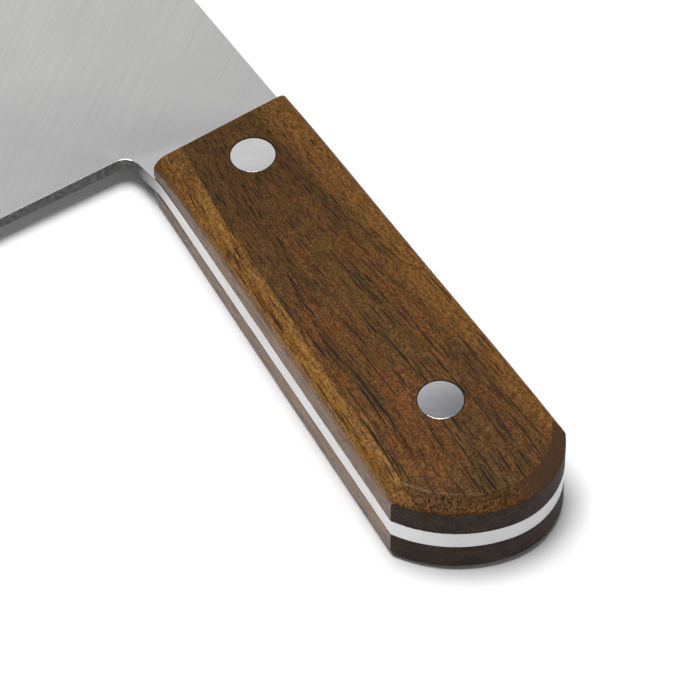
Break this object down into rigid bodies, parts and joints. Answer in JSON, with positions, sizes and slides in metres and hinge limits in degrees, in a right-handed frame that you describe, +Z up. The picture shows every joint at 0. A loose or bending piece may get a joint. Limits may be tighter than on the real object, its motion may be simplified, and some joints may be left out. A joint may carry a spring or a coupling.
{
  "type": "meat cleaver",
  "caption": "Meat cleaver with a broad rectangular blade, full tang, riveted dark wooden scales and a rounded, chamfered butt.",
  "frame": {"origin": "centre of the bottom of the bounding box, with the cleaver lying on its side", "axes": "+X along the spine from the blade to the butt of the handle, +Y from the cutting edge to the spine, +Z up, square to the side of the blade"},
  "size_m": [0.3181, 0.09, 0.0214],
  "materials": {
    "blade_steel": "satin ground faces with fine scratches, bright polished tang edge",
    "walnut": "open-pored walnut, oiled, satin",
    "rivet_steel": "ground flush, fine satin"
  },
  "bodies": {
    "root": {"blade_and_tang": "blade_steel", "upper_scale": "walnut", "lower_scale": "walnut", "front_rivet_barrel": "rivet_steel", "front_rivet_pin": "rivet_steel", "rear_rivet_barrel": "rivet_steel", "rear_rivet_pin": "rivet_steel"}
  },
  "joints": []
}
